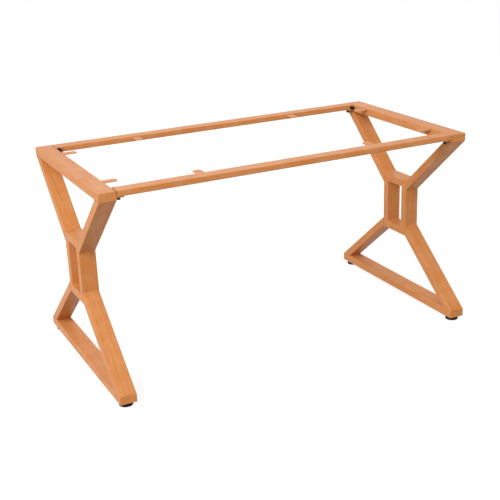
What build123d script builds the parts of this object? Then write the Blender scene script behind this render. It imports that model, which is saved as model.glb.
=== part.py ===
import os

from build123d import *

# Table base of rectangular steel tube: two waisted end frames, two rails and four levelling feet.
# Sizes are in millimetres. +Z is up, +X runs along the rails and -Y is the front.
# The origin is on the floor, under the middle of the base.

# Overall sizes
base_length = 1400  # outer face of one end frame to the outer face of the other
base_height = 730  # floor to the underside of the table top
top_depth = 710  # front to back at the top beams
floor_depth = 770  # front to back at the bottom beams

# Frame tube
tube_width = 60  # along X
tube_depth = 30  # in the plane of an end frame
tube_wall = 1.5
tube_inner_corner = 1.5
end_plate_thickness = 2
end_plate_bevel = 0.8

# Waist of an end frame
waist_width = 152  # over the outer faces of the two columns
waist_low = 300  # where the lower legs' outer edges meet the columns
waist_high = 450  # where the upper legs' outer edges meet the columns

# Rails
rail_width = 50
rail_height = 20
rail_wall = 1.5
rail_inner_corner = 1.5
rail_end_gap = 1.5  # room to fit a rail between the frames

# Cleats that carry the rail ends
cleat_length = 26  # along X
cleat_thickness = 4
cleat_fold = 1.5  # inside radius
cleat_setback = 4  # the cleat's floor stops short of the rail's outer face
cleat_drop = 2  # the cleat's side stops short of the rail's top

# Rail screws, washers, lock washers and nuts
screw_radius = 4
screw_clearance = 0.5
screw_head_radius = 6.5
screw_head_height = 8
screw_head_rounding = 0.8
socket_across = 6
socket_depth = 4
screw_overrun = 2  # end of the screw past its nut
washer_radius = 8
washer_thickness = 1.6
lock_washer_radius = 7.4
lock_washer_thickness = 2
lock_washer_split = 1.5  # gap in the ring
nut_across = 13
nut_height = 6.5
thread_clearance = 0.1

# Table-top brackets: flat tabs, welded to the inner faces of the beams and rails
bracket_width = 30
bracket_reach = 50  # from the face that carries it
bracket_thickness = 3
bracket_drop = 0.5  # top of the tab below the rounded edges of the tubes
bracket_tip_radius = 8
bracket_hole_radius = 3.5
bracket_hole_reach = 32
beam_bracket_spacing = 430  # front to back, on a top beam
rail_bracket_spacing = 660  # along a rail

# Levelling feet and their threaded inserts
foot_inset = 30  # foot axis to the end of the bottom beam
foot_travel = 10
stud_radius = 4
stud_clearance = 0.3
stud_chamfer = 1
hexagon_across = 13
hexagon_height = 5
insert_flange_radius = 8
insert_flange_thickness = 1
insert_barrel_radius = 5.5
insert_barrel_length = 12
insert_clearance = 0.1
pad_radius = 24
pad_top_radius = 12
pad_rim = 4
pad_height = 9
pad_rounding = 1
pad_floor = 3  # moulding under the end of the stud
moulding_clearance = 0.05

# Levels and places that follow from the sizes
beam_bottom = pad_height + hexagon_height + insert_flange_thickness
bottom_beam_middle = beam_bottom + tube_depth / 2
bottom_beam_top = beam_bottom + tube_depth
top_beam_middle = base_height - tube_depth / 2
top_beam_bottom = base_height - tube_depth
tube_corner = tube_inner_corner + tube_wall
rail_corner = rail_inner_corner + rail_wall
frame_middle_x = (base_length - tube_width) / 2
frame_inner_x = base_length / 2 - tube_width
waist_y = waist_width / 2
upper_run = Vector(0, top_depth / 2 - waist_y, top_beam_bottom - waist_high)
lower_run = Vector(0, floor_depth / 2 - waist_y, bottom_beam_top - waist_low)
waist_top = waist_high + tube_depth * upper_run.length / upper_run.Y
waist_bottom = waist_low - tube_depth * lower_run.length / lower_run.Y
upper_leg_ends = ((waist_y, waist_high), (top_depth / 2, top_beam_bottom))
lower_leg_ends = ((waist_y, waist_low), (floor_depth / 2, bottom_beam_top))
rail_bottom = base_height - rail_height
rail_middle = base_height - rail_height / 2
rail_y = (top_depth - rail_width) / 2
rail_inner_y = top_depth / 2 - rail_width
cleat_bottom = rail_bottom - cleat_thickness
cleat_inner_y = rail_inner_y - cleat_thickness
screw_stack = washer_thickness + lock_washer_thickness
bracket_top = base_height - max(tube_corner, rail_corner) - bracket_drop
foot_y = floor_depth / 2 - foot_inset

hands = (("left", -1), ("right", 1))
sides = (("front", -1), ("back", 1))


def save(piece, label):
    piece.part.label = label
    export_step(piece.part, f"parts/{label}.step")


# Tube sections, drawn once

with BuildSketch() as tube_section:
    RectangleRounded(tube_width, tube_depth, tube_corner)
    RectangleRounded(
        tube_width - 2 * tube_wall,
        tube_depth - 2 * tube_wall,
        tube_inner_corner,
        mode=Mode.SUBTRACT,
    )

with BuildSketch() as rail_section:
    RectangleRounded(rail_width, rail_height, rail_corner)
    RectangleRounded(
        rail_width - 2 * rail_wall,
        rail_height - 2 * rail_wall,
        rail_inner_corner,
        mode=Mode.SUBTRACT,
    )


# End frames


def frame_tube(label, start, end, saw_cuts=(), skins=(), hole_radius=0):
    # A length of frame tube. Each saw cut is a plane that faces the waste.
    # Each hole is centred on a plane that lies on the tube's skin and faces out.
    run = Vector(*end) - Vector(*start)
    with BuildPart() as tube:
        with BuildSketch(Plane(origin=start, x_dir=(1, 0, 0), z_dir=run)):
            add(tube_section.sketch)
        extrude(amount=run.length)
        for saw_cut in saw_cuts:
            split(bisect_by=saw_cut, keep=Keep.BOTTOM)
        for skin in skins:
            with BuildSketch(skin):
                Circle(hole_radius)
            extrude(amount=-tube_wall, mode=Mode.SUBTRACT)
    save(tube, label)


def beam(label, x, middle_z, depth, skins=(), hole_radius=0):
    tube_end = depth / 2 - end_plate_thickness
    ends = [(x, side * tube_end, middle_z) for _, side in sides]
    frame_tube(label, *ends, skins=skins, hole_radius=hole_radius)


def end_plates(label, x, middle_z, depth):
    with BuildPart() as plates:
        for _, side in sides:
            outer_face = Plane((x, side * depth / 2, middle_z), x_dir=(1, 0, 0), z_dir=(0, side, 0))
            with BuildSketch(outer_face):
                RectangleRounded(tube_width, tube_depth, tube_corner)
            extrude(amount=-end_plate_thickness)
        ends = plates.faces().sort_by(Axis.Y)
        chamfer(ends[0].edges() + ends[-1].edges(), length=end_plate_bevel)
    save(plates, label)


def leg(label, x, side, tier, near, far):
    # near and far are the ends of the leg's outer edge, at the waist and at the beam, as (y, z).
    near_end = Vector(x, side * near[0], near[1])
    far_end = Vector(x, side * far[0], far[1])
    along = (far_end - near_end).normalized()
    to_middle = along.rotate(Axis.X, 90 * side * tier) * (tube_depth / 2)
    spare = along * (2 * tube_depth)
    waist_cut = Plane(near_end, z_dir=(0, -side, 0))
    beam_cut = Plane(far_end, z_dir=(0, 0, tier))
    frame_tube(
        label,
        near_end + to_middle - spare,
        far_end + to_middle + spare,
        saw_cuts=(waist_cut, beam_cut),
    )


def waist_column(label, x, side):
    y = side * (waist_y - tube_depth / 2)
    upper_mitre = Plane((x, side * waist_y, waist_top), z_dir=(0, -side, 1))
    lower_mitre = Plane((x, side * waist_y, waist_bottom), z_dir=(0, -side, -1))
    frame_tube(label, (x, y, waist_bottom), (x, y, waist_top), saw_cuts=(upper_mitre, lower_mitre))


def waist_bridge(label, x, tier, outer_z):
    z = outer_z - tier * tube_depth / 2
    mitres = [Plane((x, side * waist_y, outer_z), z_dir=(0, side, -tier)) for _, side in sides]
    frame_tube(label, (x, -waist_y, z), (x, waist_y, z), saw_cuts=mitres)


def foot_inserts(label, x):
    places = [(x, side * foot_y) for _, side in sides]
    with BuildPart() as inserts:
        with BuildSketch(Plane.XY.offset(beam_bottom - insert_flange_thickness)):
            with Locations(*places):
                Circle(insert_flange_radius)
        extrude(amount=insert_flange_thickness)
        with BuildSketch(Plane.XY.offset(beam_bottom)):
            with Locations(*places):
                Circle(insert_barrel_radius)
        extrude(amount=insert_barrel_length)
        with BuildSketch(Plane.XY.offset(beam_bottom - insert_flange_thickness)):
            with Locations(*places):
                Circle(stud_radius + stud_clearance)
        extrude(amount=insert_flange_thickness + insert_barrel_length, mode=Mode.SUBTRACT)
    save(inserts, label)


# Rail joints


def screw_seats(hand, side):
    # Where the two screws of a rail end bear on the cleat, facing into the rail:
    # one from below and one from the inner side.
    x = hand * (frame_inner_x - cleat_length / 2)
    below = Plane((x, side * rail_y, cleat_bottom), x_dir=(1, 0, 0), z_dir=(0, 0, 1))
    beside = Plane((x, side * cleat_inner_y, rail_middle), x_dir=(1, 0, 0), z_dir=(0, side, 0))
    return below, beside


def rail_seats(side):
    return [seat for _, hand in hands for seat in screw_seats(hand, side)]


def rail_cleats(label, hand):
    with BuildPart() as cleats:
        for _, side in sides:
            with BuildSketch(Plane.YZ.offset(hand * frame_inner_x)):
                with BuildLine():
                    FilletPolyline(
                        (side * cleat_inner_y, cleat_bottom),
                        (side * (top_depth / 2 - cleat_setback), cleat_bottom),
                        (side * (top_depth / 2 - cleat_setback), rail_bottom),
                        (side * rail_inner_y, rail_bottom),
                        (side * rail_inner_y, base_height - cleat_drop),
                        (side * cleat_inner_y, base_height - cleat_drop),
                        radius=(cleat_fold + cleat_thickness, 0, 0, cleat_fold, 0, 0),
                        close=True,
                    )
                make_face()
            extrude(amount=-hand * cleat_length)
            for seat in screw_seats(hand, side):
                with BuildSketch(seat):
                    Circle(screw_radius + screw_clearance)
                extrude(amount=cleat_thickness, mode=Mode.SUBTRACT)
    save(cleats, label)


def rail(label, side):
    rail_end = frame_inner_x - rail_end_gap
    section_plane = Plane((-rail_end, side * rail_y, rail_middle), x_dir=(0, 1, 0), z_dir=(1, 0, 0))
    with BuildPart() as tube:
        with BuildSketch(section_plane):
            add(rail_section.sketch)
        extrude(amount=2 * rail_end)
        for seat in rail_seats(side):
            with BuildSketch(seat.offset(cleat_thickness)):
                Circle(screw_radius + screw_clearance)
            extrude(amount=rail_wall, mode=Mode.SUBTRACT)
    save(tube, label)


def rail_washers(label, side):
    with BuildPart() as washers:
        for seat in rail_seats(side):
            with BuildSketch(seat):
                Circle(washer_radius)
                Circle(screw_radius + screw_clearance, mode=Mode.SUBTRACT)
            extrude(amount=-washer_thickness)
    save(washers, label)


def rail_lock_washers(label, side):
    with BuildPart() as lock_washers:
        for seat in rail_seats(side):
            with BuildSketch(seat.offset(-washer_thickness)):
                Circle(lock_washer_radius)
                Circle(screw_radius + screw_clearance, mode=Mode.SUBTRACT)
                with Locations((lock_washer_radius / 2, 0)):
                    Rectangle(lock_washer_radius, lock_washer_split, mode=Mode.SUBTRACT)
            extrude(amount=-lock_washer_thickness)
    save(lock_washers, label)


def rail_screws(label, side):
    shank = screw_stack + cleat_thickness + rail_wall + nut_height + screw_overrun
    with BuildPart() as screws:
        for seat in rail_seats(side):
            head_face = seat.offset(-screw_stack)
            head_top = head_face.offset(-screw_head_height)
            with BuildSketch(head_top):
                Circle(screw_head_radius)
            extrude(amount=screw_head_height)
            rim = screws.edges(Select.LAST).sort_by(Axis(head_top.origin, head_top.z_dir))[0]
            fillet(rim, radius=screw_head_rounding)
            with BuildSketch(head_top):
                RegularPolygon(socket_across / 2, 6, major_radius=False)
            extrude(amount=socket_depth, mode=Mode.SUBTRACT)
            with BuildSketch(head_face):
                Circle(screw_radius)
            extrude(amount=shank)
    save(screws, label)


def rail_nuts(label, side):
    with BuildPart() as nuts:
        for seat in rail_seats(side):
            with BuildSketch(seat.offset(cleat_thickness + rail_wall)):
                RegularPolygon(nut_across / 2, 6, major_radius=False)
                Circle(screw_radius + thread_clearance, mode=Mode.SUBTRACT)
            extrude(amount=nut_height)
    save(nuts, label)


# Table-top brackets


def table_brackets(label, places):
    # A place is where the top of a tab meets the face that carries it, and the way the tab points.
    with BuildPart() as brackets:
        for root, out in places:
            with BuildSketch(Plane(root, x_dir=out, z_dir=(0, 0, 1))) as tab:
                Rectangle(bracket_reach, bracket_width, align=(Align.MIN, Align.CENTER))
                fillet(tab.vertices().group_by(Axis.X)[-1], radius=bracket_tip_radius)
                with Locations((bracket_hole_reach, 0)):
                    Circle(bracket_hole_radius, mode=Mode.SUBTRACT)
            extrude(amount=-bracket_thickness)
    save(brackets, label)


def beam_brackets(label, hand):
    x = hand * frame_inner_x
    y = beam_bracket_spacing / 2
    table_brackets(label, [((x, side * y, bracket_top), (-hand, 0, 0)) for _, side in sides])


def rail_brackets(label, side):
    x = rail_bracket_spacing / 2
    y = side * rail_inner_y
    table_brackets(label, [((hand * x, y, bracket_top), (0, -side, 0)) for _, hand in hands])


# Levelling feet


def foot_stud(label, x, y):
    with BuildPart() as stud:
        with BuildSketch(Plane((x, y, pad_floor))):
            Circle(stud_radius)
        extrude(amount=beam_bottom + insert_barrel_length + foot_travel - pad_floor)
        chamfer(stud.edges().sort_by(Axis.Z)[-1], length=stud_chamfer)
        with BuildSketch(Plane((x, y, pad_height))):
            RegularPolygon(hexagon_across / 2, 6, major_radius=False)
        extrude(amount=hexagon_height)
    save(stud, label)


def foot_pad(label, x, y):
    with BuildPart() as pad:
        with BuildSketch(Plane((x, y, 0), x_dir=(1, 0, 0), z_dir=(0, -1, 0))):
            with BuildLine():
                FilletPolyline(
                    (0, 0),
                    (pad_radius, 0),
                    (pad_radius, pad_rim),
                    (pad_top_radius, pad_height),
                    (0, pad_height),
                    radius=(0, pad_rounding, pad_rounding, pad_rounding, 0),
                    close=True,
                )
            make_face()
        revolve(axis=Axis((x, y, 0), (0, 0, 1)))
        with BuildSketch(Plane((x, y, pad_floor))):
            Circle(stud_radius + moulding_clearance)
        extrude(amount=pad_height - pad_floor, mode=Mode.SUBTRACT)
    save(pad, label)


os.makedirs("parts", exist_ok=True)

for hand_name, hand in hands:
    x = hand * frame_middle_x
    foot_skins = [Plane((x, side * foot_y, beam_bottom), z_dir=(0, 0, -1)) for _, side in sides]
    insert_hole = insert_barrel_radius + insert_clearance
    beam(f"{hand_name}_top_beam", x, top_beam_middle, top_depth)
    end_plates(f"{hand_name}_top_beam_end_plates", x, top_beam_middle, top_depth)
    beam(f"{hand_name}_bottom_beam", x, bottom_beam_middle, floor_depth, foot_skins, insert_hole)
    end_plates(f"{hand_name}_bottom_beam_end_plates", x, bottom_beam_middle, floor_depth)
    foot_inserts(f"{hand_name}_foot_inserts", x)
    waist_bridge(f"{hand_name}_waist_bridge_upper", x, 1, waist_top)
    waist_bridge(f"{hand_name}_waist_bridge_lower", x, -1, waist_bottom)
    for side_name, side in sides:
        leg(f"{hand_name}_upper_leg_{side_name}", x, side, 1, *upper_leg_ends)
        leg(f"{hand_name}_lower_leg_{side_name}", x, side, -1, *lower_leg_ends)
        waist_column(f"{hand_name}_waist_column_{side_name}", x, side)
        foot_stud(f"foot_{side_name}_{hand_name}_stud", x, side * foot_y)
        foot_pad(f"foot_{side_name}_{hand_name}_pad", x, side * foot_y)
    rail_cleats(f"{hand_name}_rail_cleats", hand)
    beam_brackets(f"{hand_name}_beam_brackets", hand)

for side_name, side in sides:
    rail(f"{side_name}_rail", side)
    rail_washers(f"{side_name}_rail_washers", side)
    rail_lock_washers(f"{side_name}_rail_lock_washers", side)
    rail_screws(f"{side_name}_rail_screws", side)
    rail_nuts(f"{side_name}_rail_nuts", side)
    rail_brackets(f"{side_name}_rail_brackets", side)
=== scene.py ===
import math

import bmesh
import bpy
from mathutils import Matrix, Vector


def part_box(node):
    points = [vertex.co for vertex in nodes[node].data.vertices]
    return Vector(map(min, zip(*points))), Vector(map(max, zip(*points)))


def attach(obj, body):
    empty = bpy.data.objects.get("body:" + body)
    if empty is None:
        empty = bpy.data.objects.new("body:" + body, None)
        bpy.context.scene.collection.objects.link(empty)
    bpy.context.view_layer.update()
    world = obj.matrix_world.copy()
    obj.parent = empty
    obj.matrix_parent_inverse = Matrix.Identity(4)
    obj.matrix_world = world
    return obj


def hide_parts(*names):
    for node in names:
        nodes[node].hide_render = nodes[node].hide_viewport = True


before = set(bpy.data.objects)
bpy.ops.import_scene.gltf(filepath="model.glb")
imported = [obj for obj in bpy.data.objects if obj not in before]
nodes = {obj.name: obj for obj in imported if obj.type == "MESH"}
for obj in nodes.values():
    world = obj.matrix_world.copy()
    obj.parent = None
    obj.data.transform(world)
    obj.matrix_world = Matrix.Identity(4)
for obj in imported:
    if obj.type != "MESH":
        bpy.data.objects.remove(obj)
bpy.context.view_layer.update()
scene = bpy.context.scene
hands = {"left": -1, "right": 1}    # along X
sides = {"front": -1, "back": 1}    # along Y
tiers = {"upper": 1, "lower": -1}   # along Z, from the waist
down = Vector((0, 0, -1))
print("frame loaded:", len(nodes), "nodes")


# camera

photoCamera = {
    "place": (-1.5502, -3.1248, 1.5730),
    "yaw": 26.603,            # degrees to the right of +Y
    "pitch": 20.722,          # degrees down
    "roll": -1.975,
    "focalPixels": 977.1,
    "axisPixel": (258, 262),  # where the lens axis meets the picture
    "sensor": 36,             # mm
    "reach": 50,
    "pictureSize": 500,
}


def makeCamera(look):
    yaw, pitch, roll = (math.radians(look[key]) for key in ("yaw", "pitch", "roll"))
    ahead = Vector((math.sin(yaw) * math.cos(pitch), math.cos(yaw) * math.cos(pitch), -math.sin(pitch)))
    right = Vector((math.cos(yaw), -math.sin(yaw), 0))
    up = right.cross(ahead)
    tiltedRight = right * math.cos(roll) + up * math.sin(roll)
    tiltedUp = up * math.cos(roll) - right * math.sin(roll)
    turn = Matrix((tiltedRight, tiltedUp, -ahead)).transposed()
    data = bpy.data.cameras.new("photoCamera")
    camera = bpy.data.objects.new("photoCamera", data)
    scene.collection.objects.link(camera)
    camera.matrix_world = Matrix.Translation(look["place"]) @ turn.to_4x4()
    size = look["pictureSize"]
    data.sensor_width = look["sensor"]
    data.lens = data.sensor_width * look["focalPixels"] / size
    data.shift_x = (size / 2 - look["axisPixel"][0]) / size
    data.shift_y = (look["axisPixel"][1] - size / 2) / size
    data.clip_end = look["reach"]
    scene.camera = camera


makeCamera(photoCamera)
print("camera set")


# shader helpers

def newGroup(name, inputs, outputs):
    group = bpy.data.node_groups.new(name, "ShaderNodeTree")
    for label, kind, value in inputs:
        socket = group.interface.new_socket(label, in_out="INPUT", socket_type=kind)
        socket.default_value = value
    for label, kind in outputs:
        group.interface.new_socket(label, in_out="OUTPUT", socket_type=kind)
    return group, group.nodes.new("NodeGroupInput"), group.nodes.new("NodeGroupOutput")


def addNode(tree, kind, settings=None, inputs=None):
    node = tree.nodes.new(kind)
    for key, value in (settings or {}).items():
        setattr(node, key, value)
    for key, value in (inputs or {}).items():
        if isinstance(value, bpy.types.NodeSocket):
            tree.links.new(value, node.inputs[key])
        else:
            node.inputs[key].default_value = value
    return node


def math2(tree, operation, a, b=0.0):
    return addNode(tree, "ShaderNodeMath", {"operation": operation}, {0: a, 1: b}).outputs[0]


def dot(tree, a, b):
    settings = {"operation": "DOT_PRODUCT"}
    return addNode(tree, "ShaderNodeVectorMath", settings, {0: a, 1: b}).outputs["Value"]


def combine(tree, x, y, z):
    return addNode(tree, "ShaderNodeCombineXYZ", None, {0: x, 1: y, 2: z}).outputs[0]


def mixColor(tree, factor, a, b, blend="MIX"):
    settings = {"data_type": "RGBA", "blend_type": blend}
    return addNode(tree, "ShaderNodeMix", settings, {0: factor, 6: a, 7: b}).outputs[2]


def mapRange(tree, value, low, high, toLow=0.0, toHigh=1.0):
    inputs = {0: value, 1: low, 2: high, 3: toLow, 4: toHigh}
    return addNode(tree, "ShaderNodeMapRange", None, inputs).outputs[0]


def noise(tree, vector, scale, detail, roughness=0.5, distortion=0.0):
    inputs = {"Vector": vector, "Scale": scale, "Detail": detail, "Roughness": roughness,
              "Distortion": distortion}
    return addNode(tree, "ShaderNodeTexNoise", None, inputs).outputs[0]


def principled(name):
    material = bpy.data.materials.new(name)
    material.use_nodes = True
    tree = material.node_tree
    return material, tree, tree.nodes["Principled BSDF"]


# wood-look film: soft streaks, thin lines, fine pores and slow patches along a grain direction

filmShape = {
    # noises are scale, detail, roughness and distortion
    # stretches squeeze (over 1) or lengthen (under 1) along the grain
    "patchStretch": 3.0,
    "patchNoise": (7.0, 2.0, 0.5),
    "patchRange": (0.34, 0.66),
    "waverNoise": (2.2, 1.0),
    "waverReach": 0.02,       # metres, so that the streaks aren't ruled lines
    "streakStretch": 0.06,
    "streakNoise": (85.0, 2.0, 0.55, 0.3),
    "streakRange": (0.36, 0.64),
    "streakHeight": 0.3,      # against a pore's depth
    "fineNoise": (420.0, 3.0, 0.6),
    "fineRange": (0.3, 0.7),
    "fineShare": 0.3,         # of a streak
    "roughRange": (0.40, 0.52),
    "lineStretch": 0.025,
    "lineNoise": (260.0, 4.0, 0.7, 0.15),
    "lineRange": (0.52, 0.60),
    "poreStretch": 0.09,
    "poreNoise": (1100.0, 1.5, 0.5),
    "poreRange": (0.60, 0.68),
}


def makeWoodFilm(shape):
    group, given, result = newGroup(
        "woodFilm",
        [("Grain", "NodeSocketVector", (1, 0, 0)),
         ("Across", "NodeSocketVector", (0, 1, 0)),
         ("Through", "NodeSocketVector", (0, 0, 1)),
         ("Pale", "NodeSocketColor", (0.8, 0.5, 0.3, 1)),
         ("Warm", "NodeSocketColor", (0.6, 0.3, 0.1, 1)),
         ("Deep", "NodeSocketColor", (0.4, 0.2, 0.1, 1)),
         ("Streaks", "NodeSocketFloat", 0.5),
         ("Lines", "NodeSocketFloat", 0.3),
         ("Pores", "NodeSocketFloat", 0.3),
         ("Patches", "NodeSocketFloat", 0.4)],
        [("Color", "NodeSocketColor"), ("Roughness", "NodeSocketFloat"), ("Height", "NodeSocketFloat")])
    asked = given.outputs
    place = group.nodes.new("ShaderNodeTexCoord").outputs["Object"]
    along = dot(group, place, asked["Grain"])
    across = dot(group, place, asked["Across"])
    through = dot(group, place, asked["Through"])

    def stretched(factor, sideways):
        return combine(group, math2(group, "MULTIPLY", along, factor), sideways, through)

    def amount(mask, label):
        return math2(group, "MULTIPLY", mask, asked[label])

    slow = stretched(shape["patchStretch"], across)
    patch = mapRange(group, noise(group, slow, *shape["patchNoise"]), *shape["patchRange"])
    waver = math2(group, "SUBTRACT", noise(group, slow, *shape["waverNoise"]), 0.5)
    wavy = math2(group, "ADD", across, math2(group, "MULTIPLY", waver, shape["waverReach"]))
    streakPlace = stretched(shape["streakStretch"], wavy)
    broad = noise(group, streakPlace, *shape["streakNoise"])
    fine = noise(group, streakPlace, *shape["fineNoise"])
    mixed = math2(group, "ADD", math2(group, "MULTIPLY", broad, 1 - shape["fineShare"]),
                  math2(group, "MULTIPLY", fine, shape["fineShare"]))
    streak = mapRange(group, mixed, *shape["streakRange"])
    linePlace = stretched(shape["lineStretch"], wavy)
    line = mapRange(group, noise(group, linePlace, *shape["lineNoise"]), *shape["lineRange"])
    porePlace = stretched(shape["poreStretch"], wavy)
    pore = mapRange(group, noise(group, porePlace, *shape["poreNoise"]), *shape["poreRange"])
    color = mixColor(group, amount(patch, "Patches"), asked["Warm"], asked["Pale"])
    color = mixColor(group, amount(streak, "Streaks"), color, asked["Deep"])
    color = mixColor(group, amount(line, "Lines"), color, asked["Deep"])
    color = mixColor(group, amount(pore, "Pores"), color, asked["Deep"], "MULTIPLY")
    height = math2(group, "SUBTRACT", math2(group, "MULTIPLY", streak, shape["streakHeight"]), pore)
    group.links.new(color, result.inputs["Color"])
    rough = mapRange(group, fine, *shape["fineRange"], *shape["roughRange"])
    group.links.new(rough, result.inputs["Roughness"])
    group.links.new(height, result.inputs["Height"])
    return group


woodFilm = makeWoodFilm(filmShape)

coatLook = {
    "pale": (0.70, 0.321, 0.128, 1),
    "warm": (0.66, 0.250, 0.066, 1),
    "deep": (0.50, 0.171, 0.050, 1),
    "streaks": 0.45,
    "lines": 0.42,
    "pores": 0.30,
    "patches": 0.75,
    "bump": 0.12,
    "bumpDepth": 0.0002,
    "specular": 0.15,
    "coat": 0.04,
    "coatRoughness": 0.30,
}


def makeCoat(name, grain):
    material, tree, shader = principled(name)
    grain = Vector(grain).normalized()
    across = Vector((0, 1, 0)) if abs(grain.x) > 0.5 else Vector((1, 0, 0))
    film = addNode(tree, "ShaderNodeGroup", {"node_tree": woodFilm}, {
        "Grain": grain, "Across": across, "Through": grain.cross(across),
        "Pale": coatLook["pale"], "Warm": coatLook["warm"], "Deep": coatLook["deep"],
        "Streaks": coatLook["streaks"], "Lines": coatLook["lines"], "Pores": coatLook["pores"],
        "Patches": coatLook["patches"]})
    bump = addNode(tree, "ShaderNodeBump", None, {
        "Strength": coatLook["bump"], "Distance": coatLook["bumpDepth"], "Height": film.outputs["Height"]})
    tree.links.new(film.outputs["Color"], shader.inputs["Base Color"])
    tree.links.new(film.outputs["Roughness"], shader.inputs["Roughness"])
    tree.links.new(bump.outputs[0], shader.inputs["Normal"])
    shader.inputs["Specular IOR Level"].default_value = coatLook["specular"]
    shader.inputs["Coat Weight"].default_value = coatLook["coat"]
    shader.inputs["Coat Roughness"].default_value = coatLook["coatRoughness"]
    return material


# small metal and plastic parts: a cloudy tone with a fine grain

mottleShape = {
    "cloudNoise": (3.0, 0.6),      # detail and roughness
    "cloudRange": (0.35, 0.65),
    "roughRange": (0.3, 0.7),
    "grainRatio": 6.0,             # grain's scale against the cloud's
    "grainNoise": (2.0, 0.6),
}


def makeMottle(shape):
    group, given, result = newGroup(
        "mottle",
        [("Scale", "NodeSocketFloat", 300.0),
         ("Dark", "NodeSocketColor", (0.3, 0.3, 0.3, 1)),
         ("Light", "NodeSocketColor", (0.6, 0.6, 0.6, 1)),
         ("Smooth", "NodeSocketFloat", 0.3),
         ("Rough", "NodeSocketFloat", 0.5)],
        [("Color", "NodeSocketColor"), ("Roughness", "NodeSocketFloat"), ("Height", "NodeSocketFloat")])
    asked = given.outputs
    place = group.nodes.new("ShaderNodeTexCoord").outputs["Object"]
    cloud = noise(group, place, asked["Scale"], *shape["cloudNoise"])
    grainScale = math2(group, "MULTIPLY", asked["Scale"], shape["grainRatio"])
    grain = noise(group, place, grainScale, *shape["grainNoise"])
    color = mixColor(group, mapRange(group, cloud, *shape["cloudRange"]), asked["Dark"], asked["Light"])
    group.links.new(color, result.inputs["Color"])
    rough = mapRange(group, cloud, *shape["roughRange"], asked["Smooth"], asked["Rough"])
    group.links.new(rough, result.inputs["Roughness"])
    group.links.new(grain, result.inputs["Height"])
    return group


mottle = makeMottle(mottleShape)

zincLook = {
    "scale": 220.0,
    "dark": (0.38, 0.38, 0.375, 1),
    "light": (0.50, 0.495, 0.48, 1),
    "smooth": 0.28,
    "rough": 0.45,
    "metallic": 1.0,
    "specular": 0.5,
    "bump": 0.05,
    "bumpDepth": 0.0002,
}
blackLook = {
    "scale": 400.0,
    "dark": (0.006, 0.006, 0.006, 1),
    "light": (0.016, 0.015, 0.015, 1),
    "smooth": 0.42,
    "rough": 0.58,
    "metallic": 0.0,
    "specular": 0.3,
    "bump": 0.1,
    "bumpDepth": 0.0002,
}
plasticLook = {
    "scale": 260.0,
    "dark": (0.010, 0.010, 0.010, 1),
    "light": (0.020, 0.020, 0.021, 1),
    "smooth": 0.50,
    "rough": 0.65,
    "metallic": 0.0,
    "specular": 0.3,
    "bump": 0.25,
    "bumpDepth": 0.0002,
}


def makeMottled(name, look):
    material, tree, shader = principled(name)
    surface = addNode(tree, "ShaderNodeGroup", {"node_tree": mottle}, {
        "Scale": look["scale"], "Dark": look["dark"], "Light": look["light"],
        "Smooth": look["smooth"], "Rough": look["rough"]})
    bump = addNode(tree, "ShaderNodeBump", None, {
        "Strength": look["bump"], "Distance": look["bumpDepth"], "Height": surface.outputs["Height"]})
    tree.links.new(surface.outputs["Color"], shader.inputs["Base Color"])
    tree.links.new(surface.outputs["Roughness"], shader.inputs["Roughness"])
    tree.links.new(bump.outputs[0], shader.inputs["Normal"])
    shader.inputs["Metallic"].default_value = look["metallic"]
    shader.inputs["Specular IOR Level"].default_value = look["specular"]
    return material


zinc = makeMottled("brightZinc", zincLook)
blackSteel = makeMottled("blackSteel", blackLook)
blackPlastic = makeMottled("blackPlastic", plasticLook)
print("materials made")


# every node gets its finish, with the grain along its own length

def grainOf(name):
    low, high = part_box(name)
    span = high - low
    if "_leg_" in name:
        side = sides[name.rsplit("_", 1)[1]]
        tier = tiers[name.split("_")[1]]
        return (0, side * span.y, tier * span.z)
    if "end_plates" in name:
        return (1, 0, 0)
    longest = max(range(3), key=lambda axis: span[axis])
    return tuple(1 if axis == longest else 0 for axis in range(3))


def finishOf(name):
    if name.endswith("_pad"):
        return blackPlastic
    if name.endswith(("_screws", "_washers")):
        return blackSteel
    if name.endswith(("_inserts", "_nuts", "_stud")):
        return zinc
    return coats[grainOf(name)]


coats = {}
for name in sorted(nodes):
    grain = grainOf(name)
    if grain not in coats:
        coats[grain] = makeCoat(f"woodCoat{len(coats) + 1}", grain)
for name, node in nodes.items():
    node.data.materials.clear()
    node.data.materials.append(finishOf(name))
print("finishes given:", len(coats), "grain directions")


# new pieces are meshes in the frame's own coordinates

def addPiece(name, builder, material, body, sharpDegrees):
    bmesh.ops.recalc_face_normals(builder, faces=builder.faces)
    mesh = bpy.data.meshes.new(name)
    builder.to_mesh(mesh)
    builder.free()
    for polygon in mesh.polygons:
        polygon.use_smooth = True
    mesh.set_sharp_from_angle(angle=math.radians(sharpDegrees))
    mesh.materials.append(material)
    piece = bpy.data.objects.new(name, mesh)
    scene.collection.objects.link(piece)
    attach(piece, body)
    return piece


def joinRings(builder, rings):
    for ring, after in zip(rings, rings[1:]):
        for k in range(len(ring)):
            n = (k + 1) % len(ring)
            builder.faces.new((ring[k], ring[n], after[n], after[k]))
    builder.faces.new(rings[0][::-1])
    builder.faces.new(rings[-1])


# fillet welds in the hollow corners between the tubes, coated over with them

weldBead = {
    "leg": 0.0030,          # along each of the two faces
    "smallLeg": 0.0024,     # at the cleats and the table-top brackets
    "bracketWidth": 0.030,
    "bracketLength": 0.028,
    "crown": 0.16,          # bulge, as a share of the leg
    "ripple": 0.10,         # ripple height, as a share of the leg
    "ripplePitch": 0.0022,
    "step": 0.00055,        # between sections
    "arcSteps": 6,
    "endTaper": 0.0035,
    "endSize": 0.15,
    "sink": 0.0004,         # root of the bead, inside the metal
    "inset": 0.0030,        # end of the bead to the side of the tube
    "sharpDegrees": 60,
}


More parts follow.
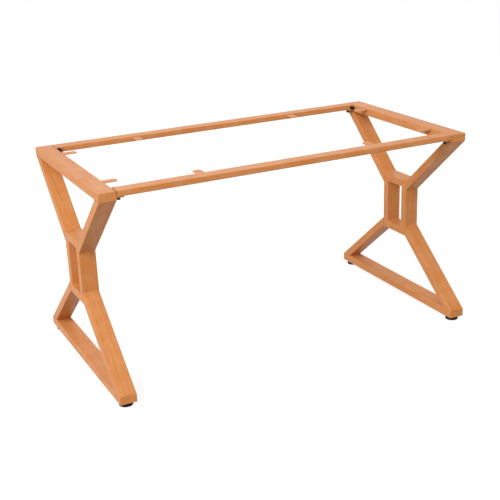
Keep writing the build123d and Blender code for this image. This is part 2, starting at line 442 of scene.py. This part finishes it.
def addBead(builder, start, end, faceA, faceB, leg):
    length = (end - start).length
    count = round(length / weldBead["step"])
    outward = (faceA + faceB).normalized()
    rings = []
    for i in range(count + 1):
        along = length * i / count
        ending = min(1, length * min(i, count - i) / count / weldBead["endTaper"])
        swell = weldBead["endSize"] + (1 - weldBead["endSize"]) * math.sqrt(ending)
        wave = abs(math.sin(math.pi * along / weldBead["ripplePitch"]))
        reach = leg * swell * (1 + weldBead["ripple"] * wave)
        root = start.lerp(end, i / count)
        ring = [builder.verts.new(root - outward * weldBead["sink"])]
        for k in range(weldBead["arcSteps"] + 1):
            u = k / weldBead["arcSteps"]
            bulge = weldBead["crown"] * 4 * u * (1 - u)
            spot = root + (faceA * (1 - u) + faceB * u + outward * bulge) * reach
            ring.append(builder.verts.new(spot))
        rings.append(ring)
    joinRings(builder, rings)


def tubeCorners(hand, side, tier):
    # hollow corners in the plane of an end frame: place and the two faces' directions
    s = sides[side]
    t = tiers[tier]
    low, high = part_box(f"{hand}_{tier}_leg_{side}")
    bridgeLow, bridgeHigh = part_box(f"{hand}_waist_bridge_{tier}")
    beamLow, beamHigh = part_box(f"{hand}_top_beam")
    depth = beamHigh.z - beamLow.z
    nearY, farY = sorted((abs(low.y), abs(high.y)))
    nearZ, farZ = (low.z, high.z) if t > 0 else (high.z, low.z)
    bridgeZ = bridgeHigh.z if t > 0 else bridgeLow.z
    leg = Vector((0, s * (farY - nearY), farZ - nearZ))
    across = depth * leg.length / abs(leg.z)    # the leg's cut end, along the beam
    leg.normalize()
    inwards = Vector((0, -s, 0))
    toWaist = Vector((0, 0, -t))
    return [
        (s * (farY - across), farZ, inwards, -leg),
        (s * nearY, nearZ, toWaist, leg),
        (s * nearY, bridgeZ, inwards, leg),
        (s * (nearY - depth), bridgeZ - t * depth, inwards, toWaist),
    ]


def addCleatBeads(builder, hand, side):
    h = hands[hand]
    s = sides[side]
    cleatLow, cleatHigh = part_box(f"{hand}_rail_cleats")
    railLow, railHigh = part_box(f"{side}_rail")
    beamLow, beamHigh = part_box(f"{hand}_top_beam")
    thickness = railLow.z - cleatLow.z
    x = beamHigh.x if h < 0 else beamLow.x
    outerY = cleatHigh.y
    innerY = min(abs(railLow.y), abs(railHigh.y)) - thickness
    bend = 2 * thickness    # the beads stop short of the cleat's fold
    leg = weldBead["smallLeg"]
    inwards = Vector((-h, 0, 0))
    addBead(builder, Vector((x, s * (innerY + bend), cleatLow.z)), Vector((x, s * outerY, cleatLow.z)),
            inwards, down, leg)
    addBead(builder, Vector((x, s * innerY, cleatLow.z + bend)), Vector((x, s * innerY, cleatHigh.z)),
            inwards, Vector((0, -s, 0)), leg)


def addBracketBead(builder, middle, along, inwards):
    half = along * weldBead["bracketLength"] / 2
    addBead(builder, middle - half, middle + half, inwards, down, weldBead["smallLeg"])


def bracketMiddles(low, high, axis):
    # under the roots of a node's two brackets, which lie at the ends of its box
    return low[axis] + weldBead["bracketWidth"] / 2, high[axis] - weldBead["bracketWidth"] / 2


for hand, h in hands.items():
    builder = bmesh.new()
    beamLow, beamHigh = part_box(f"{hand}_top_beam")
    x0 = beamLow.x + weldBead["inset"]
    x1 = beamHigh.x - weldBead["inset"]
    for side in sides:
        for tier in tiers:
            for y, z, faceA, faceB in tubeCorners(hand, side, tier):
                addBead(builder, Vector((x0, y, z)), Vector((x1, y, z)), faceA, faceB, weldBead["leg"])
        addCleatBeads(builder, hand, side)
    tabLow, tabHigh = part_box(f"{hand}_beam_brackets")
    rootX = tabHigh.x if h > 0 else tabLow.x
    for y in bracketMiddles(tabLow, tabHigh, 1):
        addBracketBead(builder, Vector((rootX, y, tabLow.z)), Vector((0, 1, 0)), Vector((-h, 0, 0)))
    addPiece(f"{hand}_frame_welds", builder, coats[(1, 0, 0)], "base",
             weldBead["sharpDegrees"])
for side, s in sides.items():
    builder = bmesh.new()
    tabLow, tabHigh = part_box(f"{side}_rail_brackets")
    rootY = tabHigh.y if s > 0 else tabLow.y
    for x in bracketMiddles(tabLow, tabHigh, 0):
        addBracketBead(builder, Vector((x, rootY, tabLow.z)), Vector((1, 0, 0)), Vector((0, -s, 0)))
    addPiece(f"{side}_rail_welds", builder, coats[(1, 0, 0)], "base",
             weldBead["sharpDegrees"])
print("welds laid")


# levelling studs with their hexagon and a rolled thread

studShape = {
    "radius": 0.004,
    "pitch": 0.00125,
    "threadDepth": 0.0006,
    "crest": 0.18,        # flats at the crest and the root, as shares of the pitch
    "leadIn": 0.0010,     # chamfer at the top
    "hexChamfer": 0.0006,
    "around": 48,
    "rowsPerPitch": 10,
    "sharpDegrees": 32,
}


def threadRise(turns):
    ridge = 1 - abs(2 * (turns % 1) - 1)
    return min(1, max(0, (ridge - studShape["crest"]) / (1 - 2 * studShape["crest"])))


def makeStud(side, hand):
    name = f"foot_{side}_{hand}_stud"
    low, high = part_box(name)
    center = (low + high) / 2
    flat = (high.y - low.y) / 2               # the hexagon's flats face front and back
    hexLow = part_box(f"foot_{side}_{hand}_pad")[1].z
    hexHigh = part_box(f"{hand}_foot_inserts")[0].z
    radius = studShape["radius"]
    core = radius - studShape["threadDepth"]
    chamfer = studShape["hexChamfer"]
    around = studShape["around"]
    angles = [2 * math.pi * k / around for k in range(around)]
    sixth = math.pi / 3
    hexagon = [flat / math.cos((angle % sixth) - sixth / 2) for angle in angles]
    blunt = [flat] * around
    rows = [
        (low.z, [radius] * around),
        (hexLow, [radius] * around),
        (hexLow, blunt),
        (hexLow + chamfer, hexagon),
        (hexHigh - chamfer, hexagon),
        (hexHigh, blunt),
        (hexHigh, [core] * around),
    ]
    step = studShape["pitch"] / studShape["rowsPerPitch"]
    count = int((high.z - hexHigh) / step)
    for i in range(1, count + 1):
        z = hexHigh + (high.z - hexHigh) * i / count
        runOut = min(1, (z - hexHigh) / studShape["pitch"])
        limit = radius - max(0, z - (high.z - studShape["leadIn"]))
        row = []
        for angle in angles:
            rise = threadRise(z / studShape["pitch"] - angle / (2 * math.pi)) * runOut
            row.append(min(limit, core + studShape["threadDepth"] * rise))
        rows.append((z, row))
    builder = bmesh.new()
    rings = []
    for z, row in rows:
        rings.append([builder.verts.new((center.x + r * math.cos(angle), center.y + r * math.sin(angle), z))
                      for r, angle in zip(row, angles)])
    joinRings(builder, rings)
    piece = addPiece(f"{name}_threaded", builder, zinc, f"foot_{side}_{hand}",
                     studShape["sharpDegrees"])
    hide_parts(name)


for side in sides:
    for hand in hands:
        makeStud(side, hand)
print("studs threaded")


# floor, backdrop and light

white = (1, 1, 1, 1)

studio = {
    "floorHalf": 14,
    "floorGlow": 0.80,
    "floorSeen": (0.30, 0.30, 0.30, 1),    # what the camera sees besides the glow, so that shadows show
    "floorColor": (0.42, 0.41, 0.40, 1),
    "fill": 0.60,
    "aim": (0, 0, 0.4),
    "keyPlace": (-6.3, -4.0, 5.5),
    "keySize": 4.5,
    "keyPower": 640,
    "backPlace": (1.4, 3.4, 3.2),
    "backSize": 3.0,
    "backPower": 30,
}


def seenDirectly(tree):
    path = tree.nodes.new("ShaderNodeLightPath")
    seen = math2(tree, "MAXIMUM", path.outputs["Is Camera Ray"], path.outputs["Is Glossy Ray"])
    return math2(tree, "MAXIMUM", seen, path.outputs["Is Transmission Ray"])


def makeFloor():
    half = studio["floorHalf"]
    mesh = bpy.data.meshes.new("floor")
    corners = [(-half, -half, 0), (half, -half, 0), (half, half, 0), (-half, half, 0)]
    mesh.from_pydata(corners, [], [(0, 1, 2, 3)])
    floor = bpy.data.objects.new("floor", mesh)
    scene.collection.objects.link(floor)
    material = bpy.data.materials.new("paleFloor")
    material.use_nodes = True
    tree = material.node_tree
    tree.nodes.clear()
    matte = addNode(tree, "ShaderNodeBsdfDiffuse", None, {"Color": studio["floorColor"]})
    shaded = addNode(tree, "ShaderNodeBsdfDiffuse", None, {"Color": studio["floorSeen"]})
    glow = addNode(tree, "ShaderNodeEmission", None, {"Color": white, "Strength": studio["floorGlow"]})
    both = addNode(tree, "ShaderNodeAddShader", None, {0: glow.outputs[0], 1: shaded.outputs[0]})
    pick = addNode(tree, "ShaderNodeMixShader", None, {
        0: seenDirectly(tree), 1: matte.outputs[0], 2: both.outputs[0]})
    addNode(tree, "ShaderNodeOutputMaterial", None, {"Surface": pick.outputs[0]})
    mesh.materials.append(material)


def makeWorld():
    world = bpy.data.worlds.new("studio")
    scene.world = world
    world.use_nodes = True
    tree = world.node_tree
    tree.nodes.clear()
    strength = mapRange(tree, seenDirectly(tree), 0.0, 1.0, studio["fill"], 1.0)
    sky = addNode(tree, "ShaderNodeBackground", None, {"Color": white, "Strength": strength})
    addNode(tree, "ShaderNodeOutputWorld", None, {"Surface": sky.outputs[0]})


def makeLamp(name):
    data = bpy.data.lights.new(f"{name}Lamp", "AREA")
    data.size = studio[f"{name}Size"]
    data.energy = studio[f"{name}Power"]
    lamp = bpy.data.objects.new(f"{name}Lamp", data)
    scene.collection.objects.link(lamp)
    lamp.location = studio[f"{name}Place"]
    ahead = Vector(studio["aim"]) - lamp.location
    lamp.rotation_euler = ahead.to_track_quat("-Z", "Y").to_euler()


makeFloor()
makeWorld()
makeLamp("key")
makeLamp("back")
scene.view_settings.view_transform = "Standard"
print("studio lit")
